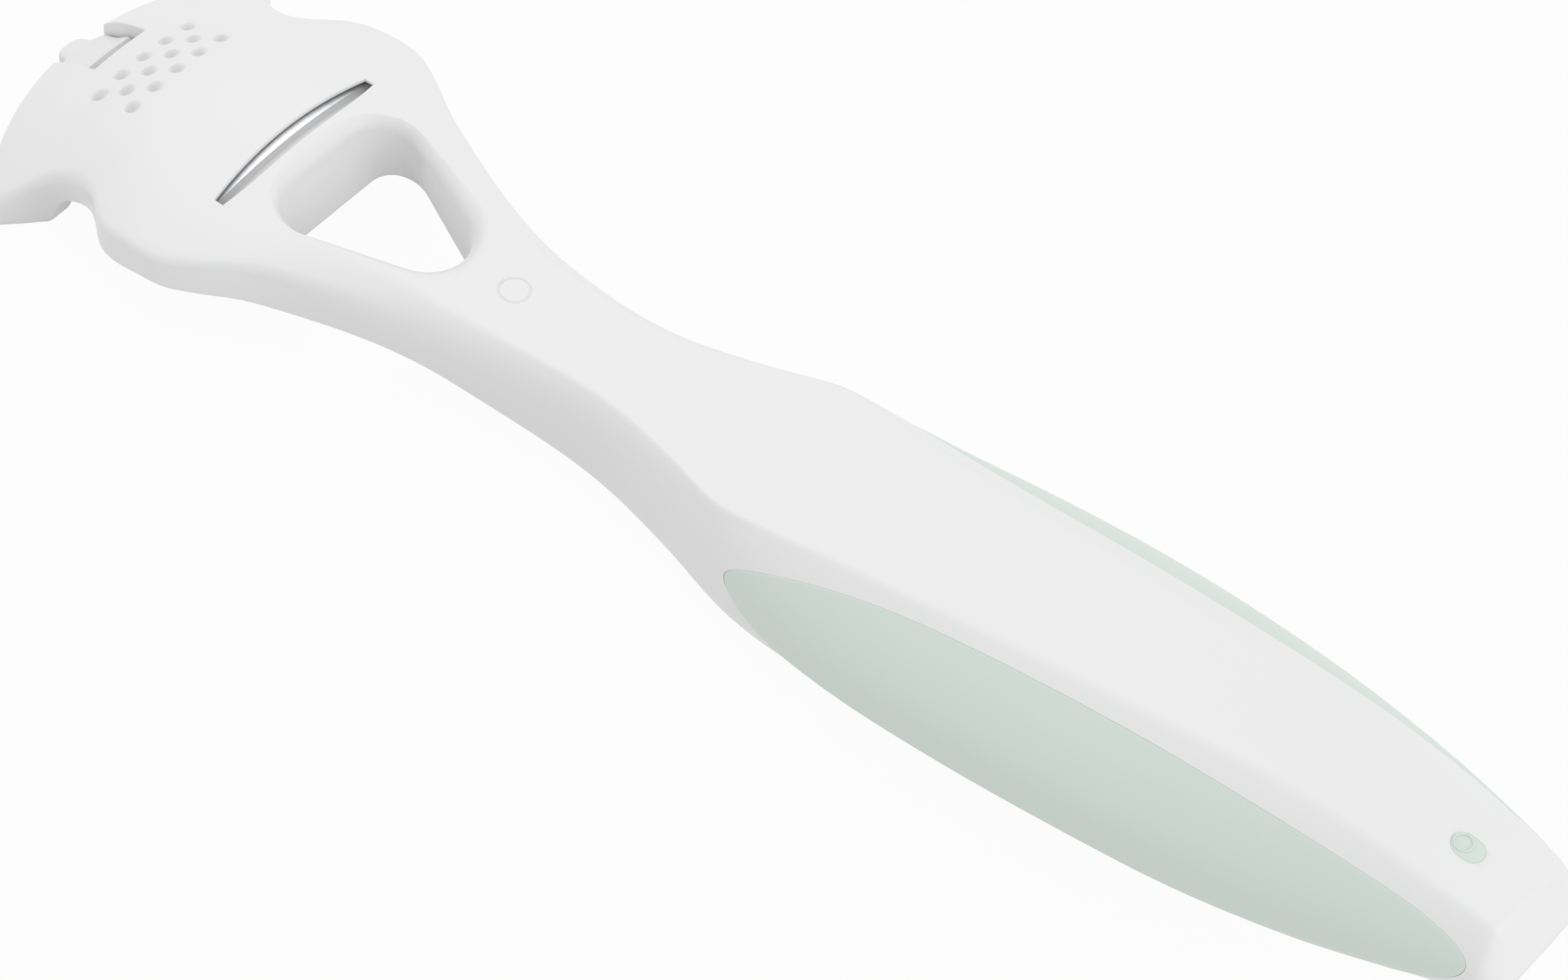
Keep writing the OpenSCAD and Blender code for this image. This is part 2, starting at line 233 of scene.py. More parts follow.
@dataclass(frozen=True)
class Section:
    """One cross-section of the moulding, with the numbers that its shape needs."""

    x: float
    half: float
    top: float
    low: float
    crease: float
    power: float

    @classmethod
    def at(cls, x: float) -> "Section":
        """The section at a place along the tool."""
        half = min(math.sqrt(2 * NOSE_R * max(x - NOSE_X, 0.01)), WIDTH.at(x))
        power = mix(NECK_POWER, GRIP_POWER, ease(x, 70, 92))
        return cls(x, half, TOP.at(x), foot_z(x), half * CREASE.at(x), power)

    @property
    def waist(self) -> float:
        """Height at which the handle is widest."""
        return (self.low + self.top) / 2

    @property
    def tall(self) -> float:
        """Height over the waist at which the side curve would close."""
        return (self.top - self.waist) / (1 - (self.crease / self.half) ** self.power) ** (1 / self.power)

    def side_z(self, y: float) -> float:
        """Height of the side curve over the waist at a distance from the middle."""
        return self.waist + self.tall * max(0.0, 1 - (y / self.half) ** self.power) ** (1 / self.power)

    def side_y(self, z: float) -> float:
        """Distance of the handle's side from the middle plane.

        Args:
            z: Height over the table.

        Returns:
            The distance at that height.
        """
        power, share = BELLY_POWER, (self.waist - z) / (self.waist - self.low)
        if z > self.waist:
            power, share = self.power, (z - self.waist) / self.tall
        return self.half * (1 - min(1.0, share) ** power) ** (1 / power)

    def front_lift(self, y: float) -> float:
        """How far the rounded lower edge of the front wall has risen at a distance from the middle."""
        return round_drop(max(0.0, self.x - nose_at(y)), FOOT_R)

    def head(self, s: float) -> Flat:
        """Point of the head's half outline.

        Args:
            s: Place round the outline: 0 mid top, 8 top of the wall, 10 foot of the wall, 14 mid foot.

        Returns:
            Distance from the middle plane and height.
        """
        half, r = self.half, min(mix(EDGE_R, REAR_EDGE_R, ease(self.x, 12, 20)), self.half / 3)
        wall_top, low_r = skin_z(self.x, half) - r, 0.4 * r
        foot = half - WALL_LEAN * (wall_top + r - self.low)
        if s > 10:
            y = between(s - 10, (foot - low_r, half * 0.75, half * 0.5, half * 0.25, 0))
            return y, self.low + self.front_lift(y)
        low = min(self.low + self.front_lift(foot - low_r), wall_top - 1.5 * low_r)
        if s > 9:
            a = 90 * (s - 9)
            return foot - low_r * (1 - cosine(a)), low + low_r * (1 - sine(a))
        if s > 8:
            return mix(half, foot, s - 8), mix(wall_top, low + low_r, s - 8)
        flat = min(0.84 * half, 0.95 * (half - r))
        if s > 6:
            y = half - r * (1 - sine(45 * (s - 6)))
        elif s > 5:
            y = mix(flat, half - r, s - 5)
        else:
            y = flat * between(s, (0, 0.214, 0.429, 0.643, 0.833, 1))
        front = (self.x - nose_at(y)) / math.sqrt(1 + (y / NOSE_R) ** 2)
        return y, skin_z(self.x, y) - max(round_drop(half - y, r), round_drop(front, r))

    def handle(self, s: float) -> Flat:
        """Point of the handle's half outline.

        Args:
            s: Place round the outline: 0 mid top, 3 just outside the crease, 8 widest, 14 mid foot.

        Returns:
            Distance from the middle plane and height.
        """
        half, c = self.half, self.crease
        outside = c + 0.15
        if s > 8:
            a, f = 15 * (s - 8), 2 / BELLY_POWER
            return half * max(0.0, cosine(a)) ** f, self.waist - (self.waist - self.low) * sine(a) ** f
        if s > 3:
            y = mix(outside, half, sine(18 * (s - 3)))
        else:
            y = between(s, (0, 0.5 * c, 0.86 * c, outside))
        return y, soft_min(self.top, self.side_z(y), 0.3)

    def outline(self, s: float) -> Flat:
        """Point of the half outline, which passes from the head's kind to the handle's kind.

        Args:
            s: Place round the outline, from 0 mid top to 14 mid foot.

        Returns:
            Distance from the middle plane and height.
        """
        t = ease(self.x, 26, 50)
        if t <= 0:
            return self.head(s)
        if t >= 1:
            return self.handle(s)
        a, b = self.head(s), self.handle(s)
        return mix(a[0], b[0], t), mix(a[1], b[1], t)


def loft(bm: bmesh.types.BMesh, rings: Sequence[Ring]) -> None:
    """Bends a flat grid into a tube through closed rings of points, and closes its ends.

    Args:
        bm: Mesh that the tube is added to.
        rings: Rings with the same number of points. A ring of one repeated place becomes a pole.
    """
    rows, count = len(rings), len(rings[0])
    made = bmesh.ops.create_grid(bm, x_segments=rows - 1, y_segments=count, size=0.5)["verts"]
    for vert in made:
        row = round((vert.co.x + 0.5) * (rows - 1))
        vert.co = rings[row][round((vert.co.y + 0.5) * count) % count]
    bmesh.ops.remove_doubles(bm, verts=made, dist=1e-7)
    bmesh.ops.holes_fill(bm, edges=[e for e in bm.edges if e.is_boundary], sides=0)
    bmesh.ops.recalc_face_normals(bm, faces=bm.faces)


def add_ring(bm: bmesh.types.BMesh, hub: Vector, lean: float, radius: float, line: float, count: int) -> None:
    """Adds a thin ring by spinning a small circle.

    Args:
        bm: Mesh that the ring is added to.
        hub: Middle of the ring.
        lean: Rise of the ring's plane for each millimetre along the tool.
        radius: Radius of the ring.
        line: Half thickness of the ring.
        count: Number of steps round the ring.
    """
    place = Matrix.Translation(hub + Vector((radius * MM, 0, lean * radius * MM)))
    turn = Matrix.Rotation(math.radians(90), 4, "X")
    start = bmesh.ops.create_circle(bm, segments=10, radius=line * MM, matrix=place @ turn)["verts"]
    edges = list(dict.fromkeys(edge for vert in start for edge in vert.link_edges))
    axis = Vector((-lean, 0, 1)).normalized()
    bmesh.ops.spin(bm, geom=start + edges, cent=hub, axis=axis, angle=math.tau, steps=count, use_merge=True)
    bmesh.ops.remove_doubles(bm, verts=bm.verts, dist=1e-7)
    bmesh.ops.recalc_face_normals(bm, faces=bm.faces)
    bm.verts.sort(key=lambda vert: vert.co.dot(SLANT))
    bm.edges.sort(key=lambda edge: (edge.verts[0].co + edge.verts[1].co).dot(SLANT))
    bm.faces.sort(key=lambda face: face.calc_center_median().dot(SLANT))


def piece_from(bm: bmesh.types.BMesh, name: str) -> bpy.types.Object:
    """Turns a finished bmesh into an object at the origin.

    Args:
        bm: Finished mesh, which is freed.
        name: Name of the piece.

    Returns:
        The object, linked to the scene.
    """
    mesh = bpy.data.meshes.new(name)
    bm.to_mesh(mesh)
    bm.free()
    piece = bpy.data.objects.new(name, mesh)
    bpy.context.scene.collection.objects.link(piece)
    return piece


def settle(piece: bpy.types.Object) -> None:
    """Applies a piece's modifiers to its mesh.

    Args:
        piece: Piece that ends with the result as its mesh and no modifiers.
    """
    result = bpy.data.meshes.new_from_object(piece.evaluated_get(bpy.context.evaluated_depsgraph_get()))
    old = piece.data
    piece.modifiers.clear()
    piece.data = result
    bpy.data.meshes.remove(old)


def drop_flat_pairs(bm: bmesh.types.BMesh) -> None:
    """Removes faces that lie back to back on the same corners.

    Args:
        bm: Mesh that is cleaned.
    """
    groups: dict[frozenset[bmesh.types.BMVert], list[bmesh.types.BMFace]] = {}
    for face in bm.faces:
        groups.setdefault(frozenset(face.verts), []).append(face)
    pairs = [face for group in groups.values() if len(group) == 2 for face in group]
    bmesh.ops.delete(bm, geom=pairs, context="FACES")


def carve(piece: bpy.types.Object, cutters: Sequence[bpy.types.Object]) -> None:
    """Cuts closed cutters out of a piece, and removes the needle faces that a cut leaves.

    Args:
        piece: Piece that is cut.
        cutters: Closed shapes, which are removed from the scene afterwards.
    """
    for cutter in cutters:
        cut = piece.modifiers.new("cut", "BOOLEAN")
        cut.operation, cut.solver, cut.object = "DIFFERENCE", "EXACT", cutter
    settle(piece)
    for cutter in cutters:
        bpy.data.objects.remove(cutter)
    bm = bmesh.new()
    bm.from_mesh(piece.data)
    bmesh.ops.remove_doubles(bm, verts=bm.verts, dist=WELD)
    bmesh.ops.dissolve_degenerate(bm, dist=WELD, edges=bm.edges)
    narrow = [f for f in bm.faces if 4 * f.calc_area() < NARROW * f.calc_perimeter() ** 2]
    beside = {neighbour for face in narrow for edge in face.edges for neighbour in edge.link_faces}
    bmesh.ops.triangulate(bm, faces=[f for f in bm.faces if len(f.verts) > 4 or f in beside])
    bmesh.ops.dissolve_degenerate(bm, dist=2.5 * WELD, edges=bm.edges)
    drop_flat_pairs(bm)
    bm.to_mesh(piece.data)
    bm.free()


def smooth(piece: bpy.types.Object, angle: float) -> None:
    """Shades a piece smooth, led by its large faces.

    Args:
        piece: Piece that is shaded.
        angle: Angle in degrees from which an edge stays sharp.
    """
    piece.data.shade_smooth()
    piece.data.set_sharp_from_angle(angle=math.radians(angle))
    weigh = piece.modifiers.new("even_shading", "WEIGHTED_NORMAL")
    weigh.keep_sharp = True


class Socket:
    """A shader value that can be used in ordinary arithmetic."""

    def __init__(self, tree: "Shader", link: Any) -> None:
        """Wraps an output socket of a shader tree."""
        self.tree, self.link = tree, link

    def _math(self, operation: str, a: Any, b: Any) -> "Socket":
        """Adds one Math node."""
        return self.tree.node("ShaderNodeMath", {"operation": operation}, {0: a, 1: b})

    def __add__(self, other: Any) -> "Socket":
        """Sum."""
        return self._math("ADD", self, other)

    def __sub__(self, other: Any) -> "Socket":
        """Difference."""
        return self._math("SUBTRACT", self, other)

    def __rsub__(self, other: Any) -> "Socket":
        """Difference from a plain number."""
        return self._math("SUBTRACT", other, self)

    def __mul__(self, other: Any) -> "Socket":
        """Product."""
        return self._math("MULTIPLY", self, other)

    __radd__, __rmul__ = __add__, __mul__

    def at_least(self, other: Any) -> "Socket":
        """The larger of two values."""
        return self._math("MAXIMUM", self, other)


class Shader:
    """A node tree that is filled by short calls."""

    def __init__(self, owner: Any) -> None:
        """Starts an empty tree.

        Args:
            owner: Material or world that the tree belongs to.
        """
        owner.use_nodes = True
        self.tree = owner.node_tree
        self.tree.nodes.clear()

    def node(self, kind: str, settings: dict[str, Any] | None = None,
             inputs: dict[Any, Any] | None = None, output: Any = 0) -> Socket:
        """Adds a node.

        Args:
            kind: Node type.
            settings: Properties of the node, set before its sockets.
            inputs: Values or sockets by input name or number.
            output: Which output is given back.

        Returns:
            The wrapped output.
        """
        made = self.tree.nodes.new(kind)
        for key, value in (settings or {}).items():
            setattr(made, key, value)
        for key, value in (inputs or {}).items():
            if isinstance(value, Socket):
                self.tree.links.new(value.link, made.inputs[key])
            else:
                made.inputs[key].default_value = value
        return Socket(self, made.outputs[output] if made.outputs else None)

    def place(self, stretch: tuple[float, float, float] = (1, 1, 1)) -> Socket:
        """Object coordinates, stretched by a factor along each axis."""
        here = self.node("ShaderNodeTexCoord", output="Object")
        return self.node("ShaderNodeMapping", {"vector_type": "POINT"}, {"Vector": here, "Scale": stretch})

    def noise(self, place: Socket, scale: float, detail: float = 2, rough: float = 0.5) -> Socket:
        """Noise between 0 and 1, with features of about 1 / scale metres."""
        inputs = {"Vector": place, "Scale": scale, "Detail": detail, "Roughness": rough}
        return self.node("ShaderNodeTexNoise", {}, inputs)

    def tint(self, amount: Socket, dark: Sequence[float], light: Sequence[float]) -> Socket:
        """A colour between two colours, which are sockets 6 and 7 of the node."""
        inputs = {0: amount, 6: (*dark, 1), 7: (*light, 1)}
        return self.node("ShaderNodeMix", {"data_type": "RGBA"}, inputs, 2)

    def finish(self, colour: Socket, rough: Socket, height: Socket, depth: float, **fixed: float) -> None:
        """Ends the tree in one Principled surface.

        Args:
            colour: Base colour.
            rough: Roughness.
            height: Height of the fine relief, from 0 to 1.
            depth: Depth of the relief in metres.
            fixed: Other inputs by name, with spaces as underscores, the same all over.
        """
        bump = self.node("ShaderNodeBump", {}, {"Height": height, "Distance": depth, "Strength": 1.0})
        inputs = {"Base Color": colour, "Roughness": rough, "Normal": bump}
        inputs.update({key.replace("_", " "): value for key, value in fixed.items()})
        surface = self.node("ShaderNodeBsdfPrincipled", {}, inputs)
        self.node("ShaderNodeOutputMaterial", {}, {"Surface": surface})


class Slot(Enum):
    """Material slots of the record."""

    MOULDING = "moulding"
    GRIP = "soft_grip"
    BLADE = "blade"
    HOLDER = "holder"


@dataclass(frozen=True)
class MouldedPlastic:
    """Satin white plastic with a faint flow of the melt and a very fine skin."""

    name: str
    light: tuple[float, float, float] = (0.9, 0.9, 0.902)
    dark: tuple[float, float, float] = (0.88, 0.881, 0.885)
    rough: float = 0.36

    def make(self) -> bpy.types.Material:
        """Makes the material.

        Returns:
            The material, ready for a piece.
        """
        material = bpy.data.materials.new(self.name)
        s = Shader(material)
        here = s.place()
        flow = s.noise(s.place((0.45, 1, 1)), 42, 3, 0.55)
        skin = s.noise(here, 2600, 2, 0.6)
        waves = s.noise(here, 210, 1)
        rough = self.rough + 0.1 * (flow - 0.5) + 0.05 * (skin - 0.5)
        s.finish(s.tint(flow, self.dark, self.light), rough, 0.2 * skin + 0.8 * waves, 0.012 * MM,
                 IOR=1.5, Specular_IOR_Level=0.5)
        return material


@dataclass(frozen=True)
class SoftRubber:
    """Pale green soft plastic with a silky skin that is slightly cloudy."""

    name: str
    light: tuple[float, float, float] = (0.745, 0.833, 0.784)
    dark: tuple[float, float, float] = (0.70, 0.793, 0.739)
    rough: float = 0.42

    def make(self) -> bpy.types.Material:
        """Makes the material.

        Returns:
            The material, ready for a piece.
        """
        material = bpy.data.materials.new(self.name)
        s = Shader(material)
        here = s.place()
        cloud = s.noise(s.place((0.35, 1, 1)), 60, 3, 0.6)
        skin = s.noise(here, 5200, 2, 0.7)
        rough = self.rough + 0.12 * (cloud - 0.5) + 0.08 * (skin - 0.5)
        s.finish(s.tint(cloud, self.dark, self.light), rough, skin, 0.008 * MM,
                 IOR=1.45, Sheen_Weight=0.08, Sheen_Roughness=0.4)
        return material


@dataclass(frozen=True)
class GroundSteel:
    """Bright strip steel with fine rolling lines across the tool."""

    name: str
    light: tuple[float, float, float] = (0.84, 0.845, 0.85)
    dark: tuple[float, float, float] = (0.58, 0.585, 0.595)
    rough: float = 0.3

    def make(self) -> bpy.types.Material:
        """Makes the material.

        Returns:
            The material, ready for a piece.
        """
        material = bpy.data.materials.new(self.name)
        s = Shader(material)
        lines = s.noise(s.place((0.25, 1, 1)), 1900, 3, 0.7)
        smear = s.noise(s.place(), 300, 2)
        rough = self.rough + 0.16 * lines + 0.06 * smear
        s.finish(s.tint(lines, self.dark, self.light), rough, lines, 0.003 * MM, Metallic=1.0)
        return material


@dataclass
class Body:
    """The moulding from the head to the end of the handle, with everything that is cut into it."""

    notch_half: float = 3.3
    notch_end: float = 5.4
    mouth_r: float = 0.45
    fine_rim: float = 0.14
    slot_x: float = 25.15
    slot_width: float = 2.15
    slot_half: float = 9.7
    slot_bow: float = 0.75
    slot_close: float = 0.45
    dimple_x: float = 10.35
    dimple_r: float = 0.7128
    dimple_depth: float = 1.0
    dimple_pitch: float = 2.85
    dimple_row: float = 2.0
    dimple_floor: float = 6.0
    top_slope: float = 1.04
    hole_x: float = 29.5
    hole_half: float = 7.4
    hole_length: float = 16.1
    hole_corner_r: float = 3.5
    hole_tip_r: float = 4.0
    hole_rim: float = 2.0
    hole_foot: float = 0.9
    pocket_x: Flat = (4.4, 27.4)
    pin_x: float = 51.7
    pin_r: float = 1.38
    pin_line: float = 0.17
    groove: float = 0.02

    def dimples(self) -> list[Flat]:
        """Centres of the dimples in three rows across the head, of 5, 4 and 5."""
        return [(self.dimple_x + row * self.dimple_row, (i - (count - 1) / 2) * self.dimple_pitch)
                for row, count in ((-1, 5), (0, 4), (1, 5)) for i in range(count)]

    def stations(self) -> list[float]:
        """Places of the cross-sections, closer where the shape turns fast."""
        wing = 17.2
        nose = [nose_at(y) for y in steps(self.notch_half - 0.4, wing, 0.55)]
        return nose + runs((nose_at(wing), 0.3), (7.2, 0.15), (9.6, 0.1), (11.9, 0.15), (13.6, 0.6), (30, 1.0),
                           (155, 0.15), (TIP_X, 0))

    def ring_places(self) -> list[float]:
        """Places round half a section, closer on the top face and at its edges."""
        near_crease = [3.07, 3.15, 3.25, 3.4, 3.6, 3.85, 4.15, 4.5, 4.9, 5.3, 5.7]
        return runs((0, 1 / 16), (3, 0)) + near_crease + runs((6, 0.25), (8, 0.2), (9, 1 / 3), (14, 0))

    def shell(self) -> bmesh.types.BMesh:
        """Makes the outside of the moulding, with its dimples pressed in.

        Returns:
            The closed shell.
        """
        half_places = self.ring_places()
        dimples = self.dimples()
        rings = []
        for x in self.stations():
            section = Section.at(x)
            near = [d for d in dimples if abs(d[0] - x) < self.dimple_r]
            half = [section.outline(s) for s in half_places]
            both = half + [(-y, z) for y, z in reversed(half[1:-1])]
            rings.append([point(x, y, z - self.press(x, y, near, z)) for y, z in both])
        bm = bmesh.new()
        loft(bm, rings)
        return bm

    def press(self, x: float, y: float, near: Sequence[Flat], z: float) -> float:
        """How deep a dimple presses the top face at a place.

        Args:
            x: Place along the tool.
            y: Distance from the middle plane.
            near: Centres of the dimples that can reach there.
            z: Height of the face, which tells the top face from the foot.

        Returns:
            The depth, 0 outside the dimples.
        """
        deep = 0.0
        if z < self.dimple_floor:
            return deep
        for cx, cy in near:
            d = math.hypot((x - cx) * self.top_slope, y - cy) / self.dimple_r
            if d < 1:
                deep = max(deep, self.dimple_depth * (1 - d * d) ** 1.5)
        return deep

    def pocket(self) -> bmesh.types.BMesh:
        """Makes the cutter for the hollow under the head, up to the arched underside of the plate.

        Returns:
            The closed cutter.
        """
        rings = []
        for x in runs((self.pocket_x[0], 0.5), (self.pocket_x[1], 0)):
            half = Section.at(x).half - SKIRT_T
            top = [(half * i / 20, ceiling_z(x, half * i / 20)) for i in range(-20, 21)]
            rings.append([point(x, -half, -1)] + [point(x, y, z) for y, z in top] + [point(x, half, -1)])
        bm = bmesh.new()
        loft(bm, rings)
        return bm

    def rimmed(self, outline: Callable[[float], list[Flat]], rim: float, foot: float) -> bmesh.types.BMesh:
        """Upright cutter whose upper rim is rounded along the head's top face.

        Args:
            outline: Gives the outline in plan for a growth outwards.
            rim: Radius of the rounded rim.
            foot: Height of the cutter's flat lower end.

        Returns:
            The closed cutter.
        """
        over = rim * 1.05 + 0.05
        levels = [(0.0, None)] + [(rim * (1 - sine(a)), rim * (cosine(a) - 1)) for a in (90, 70, 50, 30, 12)]
        levels += [(over, 0.2), (over, 5.0)]
        rings = [[point(x, y, foot if dz is None else skin_z(x, y) + dz) for x, y in outline(grow)]
                 for grow, dz in levels]
        bm = bmesh.new()
        loft(bm, rings)
        return bm

    def notch_outline(self, grow: float) -> list[Flat]:
        """The notch in plan: a mouth with rounded corners and a square end.

        Args:
            grow: Growth outwards.

        Returns:
            The closed outline.
        """
        r, corner = self.mouth_r, 0.25 + grow
        cy = self.notch_half + r
        cx = nose_at(cy) + r
        end, side = self.notch_end + grow, self.notch_half + grow
        half = [(-4.0, cy)]
        half += [(cx + (r - grow) * cosine(a), cy + (r - grow) * sine(a)) for a in range(180, 271, 15)]
        half += [(cx + (end - corner - cx) * i / 8, side) for i in range(1, 8)]
        half += [(end - corner * (1 - sine(a)), side - corner * (1 - cosine(a))) for a in range(0, 91, 15)]
        half += [(end, (side - corner) * (1 - i / 4)) for i in range(1, 4)]
        return half + [(end, 0.0)] + [(x, -y) for x, y in reversed(half)]

    def slot_outline(self, grow: float) -> list[Flat]:
        """The slot in plan: two shallow arcs that close towards the ends.

        Args:
            grow: Growth outwards.

        Returns:
            The closed outline.
        """
        half, rear_x = self.slot_half + grow, self.slot_x + self.slot_width
        rows = [-1 + 2 * i / 32 for i in range(33)]
        front = [(self.slot_x + self.slot_bow * t * t - grow, t * half) for t in rows]
        return front + [(rear_x - self.slot_close * t**4 + grow, t * half) for t in reversed(rows)]

    def hole_outline(self, low: float, grow: float) -> list[Flat]:
        """The rounded triangle through the neck in plan.

        Args:
            low: 0 for the outline at its top, 1 for the smaller one at its foot.
            grow: Growth outwards.

        Returns:
            The closed outline.
        """
        r, t = self.hole_corner_r - 0.6 * low, self.hole_tip_r + 0.8 * low
        front = (self.hole_x + 1.8 * low + r, self.hole_half + 0.2 * low - r)
        tip = self.hole_x + self.hole_length + 0.2 * low - t
        run = tip - front[0]
        lean = math.degrees(math.atan2(front[1], run) - math.asin((t - r) / math.hypot(run, front[1])))

        def arc(cx: float, cy: float, radius: float, start: float, end: float) -> list[Flat]:
            """An arc in small steps, with both its ends."""
            return [(cx + radius * cosine(mix(start, end, i / 14)), cy + radius * sine(mix(start, end, i / 14)))
                    for i in range(15)]

        def line(a: Flat, b: Flat, parts: int) -> list[Flat]:
            """Points between two ends, without the ends."""
            return [(mix(a[0], b[0], i / parts), mix(a[1], b[1], i / parts)) for i in range(1, parts)]

        corners = [arc(front[0], -front[1], r + grow, 180, 270 + lean),
                   arc(tip, 0, t + grow, lean - 90, 90 - lean),
                   arc(front[0], front[1], r + grow, 90 - lean, 180)]
        made: list[Flat] = []
        for i, corner in enumerate(corners):
            made += corner + line(corner[-1], corners[(i + 1) % 3][0], 12)
        return made

    def neck_hole(self) -> bmesh.types.BMesh:
        """Makes the cutter for the hole in the neck, with a round upper rim and a smaller lower one.

        Returns:
            The closed cutter.
        """
        foot, rim = self.hole_foot, self.hole_rim
        rings = [[point(x, y, -1) for x, y in self.hole_outline(1, foot + 0.4)]]
        rings += [[point(x, y, foot_z(x) - 0.3) for x, y in self.hole_outline(1, foot + 0.4)]]
        for a in (8, 20, 35, 50, 65, 80, 90):
            plan, rise = self.hole_outline(1, foot * (1 - sine(a))), foot * (1 - cosine(a))
            rings.append([point(x, y, foot_z(x) + rise) for x, y in plan])
        low, high = self.hole_outline(1, 0), self.hole_outline(0, 0)
        for f in (0.25, 0.5, 0.75):
            rings.append([point(mix(a[0], b[0], f), mix(a[1], b[1], f),
                                mix(foot_z(a[0]) + foot, TOP.at(b[0]) - rim, f)) for a, b in zip(low, high)])
        for a in (90, 78, 66, 54, 42, 30, 18, 8):
            plan, drop = self.hole_outline(0, rim * (1 - sine(a))), rim * (1 - cosine(a))
            rings.append([point(x, y, TOP.at(x) - drop) for x, y in plan])
        for up in (0.35, 5.0):
            rings.append([point(x, y, TOP.at(x) + up) for x, y in self.hole_outline(0, rim + 0.7)])
        bm = bmesh.new()
        loft(bm, rings)
        return bm

    def pin_ring(self) -> bmesh.types.BMesh:
        """Makes the cutter for the fine ring that a mould pin has left on the neck.

        Returns:
            The closed cutter.
        """
        bm = bmesh.new()
        add_ring(bm, point(self.pin_x, 0, TOP.at(self.pin_x) + 0.05), 0.0, self.pin_r, self.pin_line, 64)
        return bm

    def grip_seat(self, side: int) -> bmesh.types.BMesh:
        """Makes the cutter for the shallow seat that a side grip lies in.

        Args:
            side: -1 for the near side, 1 for the far side.

        Returns:
            The closed cutter.
        """
        g, grip = self.groove, Grip()
        levels = [(-1.3, g, f) for f in (0, 0.3, 0.6, 0.85, 1)] + [(-0.9, g, 1), (-0.45, g, 1)]
        levels += [(-0.04 * sine(a), g + 0.04 * (1 - cosine(a)), 1) for a in (90, 60, 30, 0)]
        levels += [(0.3, g + 0.1, 1), (3, g + 0.1, 1), (3, g + 0.1, 0)]
        bm = bmesh.new()
        loft(bm, [grip.side_ring(side, out, grow, share, False) for out, grow, share in levels])
        return bm

    def plug_seat(self) -> bmesh.types.BMesh:
        """Makes the cutter for the oval well in the top face that the grip's plug fills.

        Returns:
            The closed cutter.
        """
        grip = Grip()
        levels = [(0.01, up) for up in (-0.9, -0.5, -0.03)]
        levels += [(0.015, -0.01), (0.03, 0.005), (0.05, 0.3), (0.05, 2)]
        bm = bmesh.new()
        loft(bm, [grip.plug_ring(grow, up) for grow, up in levels])
        return bm

    def build(self) -> bpy.types.Object:
        """Makes the whole moulding.

        Returns:
            The finished piece.
        """
        piece = piece_from(self.shell(), "body_moulding")
        cutters = {
            "pocket": self.pocket(), "notch": self.rimmed(self.notch_outline, self.fine_rim, -1),
            "slot": self.rimmed(self.slot_outline, self.fine_rim, 7), "neck_hole": self.neck_hole(),
            "pin_ring": self.pin_ring(), "near_seat": self.grip_seat(-1), "far_seat": self.grip_seat(1),
            "plug_seat": self.plug_seat()}
        carve(piece, [piece_from(bm, name) for name, bm in cutters.items()])
        smooth(piece, 52)
        return piece

    def dress(self, piece: bpy.types.Object) -> None:
        """Gives the moulding its plastic and its place in the frame."""
        settle_in(piece, MouldedPlastic("white_moulding").make(), "body")


